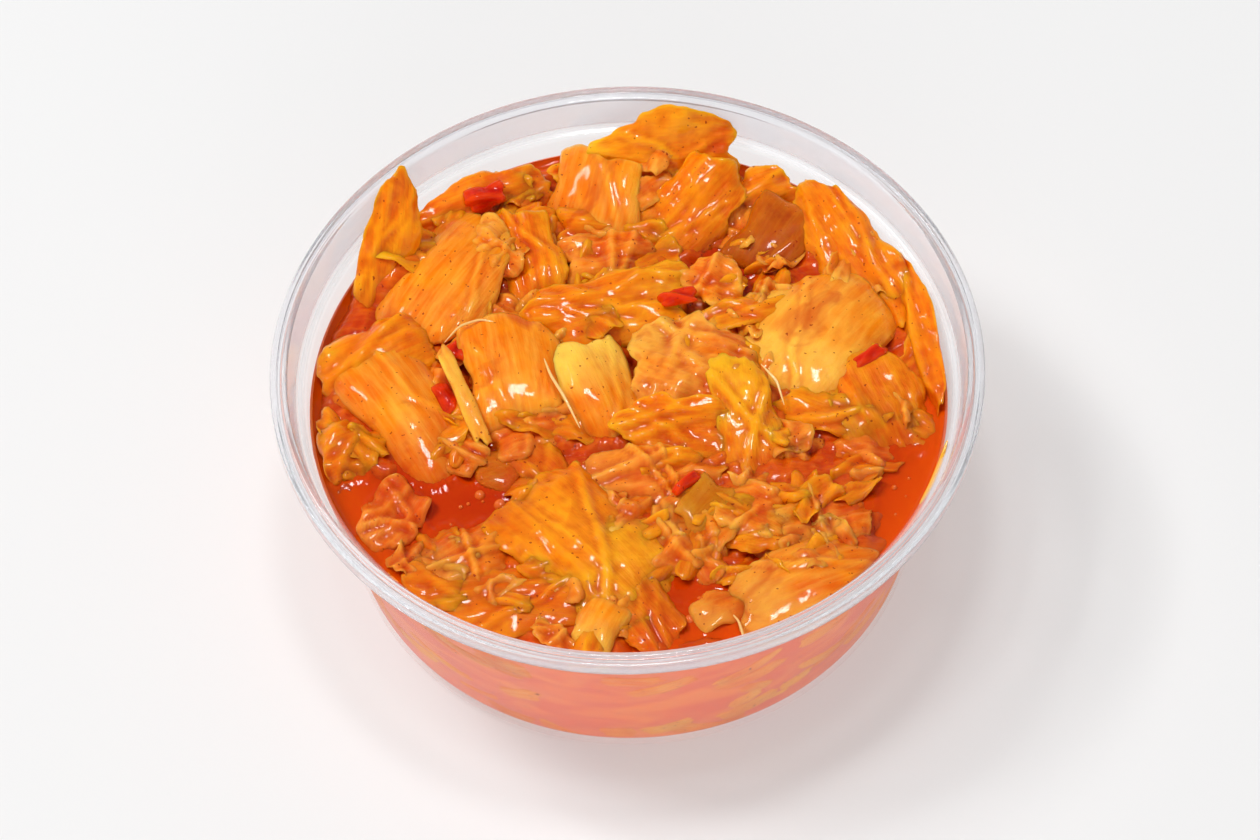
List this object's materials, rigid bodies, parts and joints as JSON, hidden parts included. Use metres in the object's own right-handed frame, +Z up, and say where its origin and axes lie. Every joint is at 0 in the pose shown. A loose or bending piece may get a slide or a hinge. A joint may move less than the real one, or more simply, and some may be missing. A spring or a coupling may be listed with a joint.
{
  "type": "bowl of kimchi",
  "caption": "Cut napa cabbage kimchi in chilli brine, heaped in a round clear plastic deli tub without its lid.",
  "frame": {"origin": "centre of the tub's base, at the height of the table", "axes": "+Z up out of the tub's mouth, -Y towards the viewer of the picture"},
  "size_m": [0.117, 0.117, 0.0482],
  "materials": {
    "clear_plastic": "gloss",
    "kimchi_orange": "gloss"
  },
  "bodies": {
    "root": {"tub": "clear_plastic", "kimchi": "kimchi_orange"}
  },
  "joints": []
}
